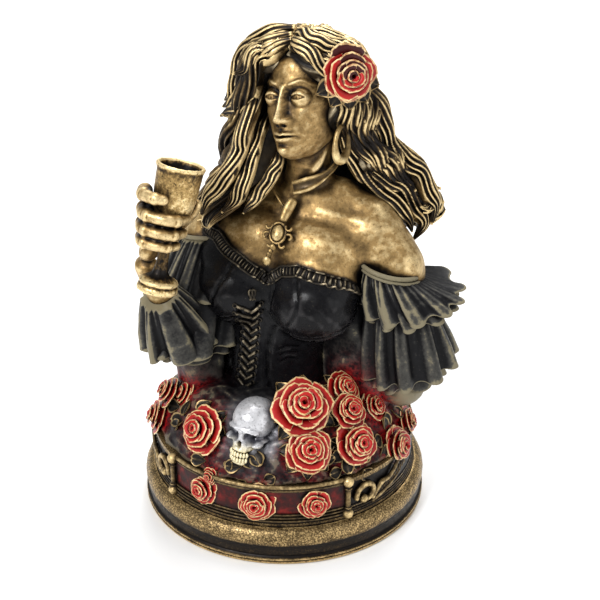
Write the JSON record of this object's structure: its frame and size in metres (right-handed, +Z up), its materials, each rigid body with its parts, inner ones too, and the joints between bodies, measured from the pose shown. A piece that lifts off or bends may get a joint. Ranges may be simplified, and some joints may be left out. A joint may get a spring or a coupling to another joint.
{
  "type": "resin bust figurine",
  "caption": "Figurine bust of a long-haired woman raising a goblet, in ruffled sleeves, on a round plinth ringed with roses and a skull.",
  "frame": {"origin": "centre of the plinth's flat underside", "axes": "+Z up, -Y towards the plinth's front panel, +X towards the figure's left"},
  "size_m": [0.111, 0.1, 0.1669],
  "materials": {
    "bronzed resin": "bronze-painted resin with a dark patina"
  },
  "bodies": {
    "root": {"bust": "bronzed resin"}
  },
  "joints": []
}
